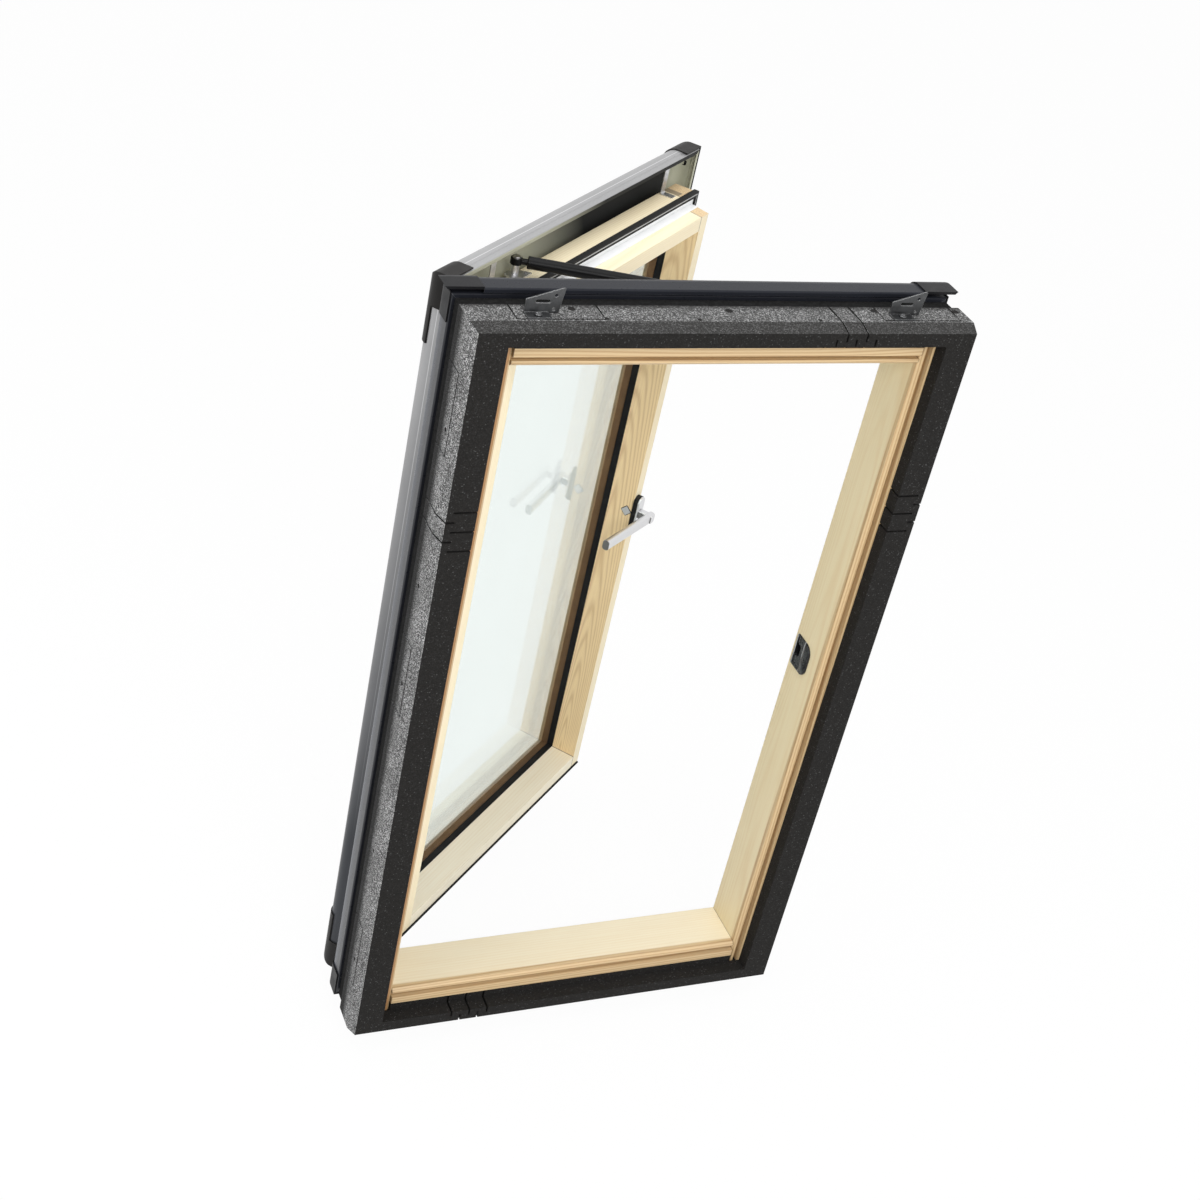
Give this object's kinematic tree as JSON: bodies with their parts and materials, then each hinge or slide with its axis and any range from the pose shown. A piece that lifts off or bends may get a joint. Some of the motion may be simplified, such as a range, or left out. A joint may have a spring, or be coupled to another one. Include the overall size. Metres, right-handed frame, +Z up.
{
  "type": "roof skylight",
  "caption": "Side-hung roof exit window with a timber frame in a foam insulation block, a swinging glazed sash on hinges, a gas strut, a lever handle and a lock keep.",
  "frame": {"origin": "centre of the four fixing slots, on the room face of the bracket plates", "axes": "X to the right as seen from the room, Y outwards through the window, Z up along the roof slope"},
  "size_m": [0.7804, 0.652, 1.3492],
  "materials": {
    "galvanised_steel": "galvanised",
    "cap_plastic": "dark grey",
    "steel_fittings": "zinc plated",
    "black_corner": "moulded black",
    "anthracite_cover": "satin anthracite",
    "pale_timber": "clear lacquered pine",
    "spacer_black": "matt",
    "black_seal": "matt",
    "black_plastic": "matt",
    "satin_silver": "satin silver",
    "clear_glass": "clear",
    "insulation_foam": "moulded bead foam",
    "grey_cover": "satin grey coating",
    "white_carrier": "white",
    "black_keep": "glossy black",
    "rod_steel": "hard chromed",
    "strut_black": "gloss black",
    "underlay_felt": "black collar felt"
  },
  "bodies": {
    "frame": {"bracket_lower_left": "galvanised_steel", "bracket_lower_right": "galvanised_steel", "bracket_screws": "galvanised_steel", "bracket_upper_left": "galvanised_steel", "bracket_upper_right": "galvanised_steel", "frame_corner_bottom_left": "black_corner", "frame_corner_bottom_right": "black_corner", "frame_corner_top_left": "black_corner", "frame_corner_top_right": "black_corner", "frame_cover_bottom": "anthracite_cover", "frame_cover_left": "anthracite_cover", "frame_cover_right": "anthracite_cover", "frame_cover_top": "anthracite_cover", "frame_head": "pale_timber", "frame_hood": "anthracite_cover", "frame_jamb_hinge": "pale_timber", "frame_jamb_lock": "pale_timber", "frame_sill": "pale_timber", "hinge_frame_leaves": "steel_fittings", "hinge_pins": "steel_fittings", "insulation_block": "insulation_foam", "strike_keep": "black_keep", "strut_frame_bracket": "steel_fittings", "underlay_collar": "underlay_felt"},
    "sash": {"corner_cap_bottom_left": "cap_plastic", "corner_cap_bottom_right": "cap_plastic", "corner_cap_top_left": "cap_plastic", "corner_cap_top_right": "cap_plastic", "cover_clips": "steel_fittings", "glass_spacer": "spacer_black", "glazing_seal": "black_seal", "handle_base": "black_plastic", "handle_cover": "satin_silver", "hinge_sash_leaves": "steel_fittings", "inner_pane": "clear_glass", "lock_case": "steel_fittings", "lock_plate": "satin_silver", "outer_gasket": "black_seal", "outer_pane": "clear_glass", "sash_bottom_rail": "pale_timber", "sash_bottom_seal": "black_seal", "sash_cover_bottom": "grey_cover", "sash_cover_left": "grey_cover", "sash_cover_right": "grey_cover", "sash_cover_top": "grey_cover", "sash_hinge_stile": "pale_timber", "sash_lock_stile": "pale_timber", "sash_top_rail": "pale_timber", "seal_carrier": "white_carrier", "strut_sash_bracket": "steel_fittings", "weather_gasket": "black_seal"},
    "handle": {"handle_lever": "satin_silver"},
    "bolt": {"lock_bolt": "steel_fittings"},
    "strut_tube_body": {"strut_tube": "strut_black"},
    "strut_rod_body": {"strut_rod": "rod_steel"}
  },
  "joints": [
    {"name": "sash_swing", "type": "hinge", "parent": "frame", "child": "sash", "pos_m": [-0.36, 0.1265, 0], "axis": [0, 0, 1], "range_deg": [-40, 10]},
    {"name": "handle_turn", "type": "hinge", "parent": "sash", "child": "handle", "pos_m": [0.19212, 0.47817, 0.008], "axis": [0.6428, -0.766, 0], "range_deg": [0, 90]},
    {"name": "bolt_slide", "type": "slide", "parent": "sash", "child": "bolt", "axis": [0.766, 0.6428, 0], "range_m": [0, 0.01401]},
    {"name": "strut_swing", "type": "hinge", "parent": "sash", "child": "strut_tube_body", "pos_m": [-0.2246, 0.22184, 0.605], "axis": [0, 0, 1], "range_deg": [-15.66, 62.48]},
    {"name": "strut_extend", "type": "slide", "parent": "strut_tube_body", "child": "strut_rod_body", "axis": [0.9336, -0.3584, 0], "range_m": [-0.04873, 0.01222]}
  ],
  "couplings": [
    {"joint": "bolt_slide", "follows": "handle_turn", "m_per_rad": 0.0089127},
    {"joint": "strut_swing", "follows": "sash_swing", "ratio": -1.5609},
    {"joint": "strut_extend", "follows": "sash_swing", "m_per_rad": 0.06973}
  ]
}
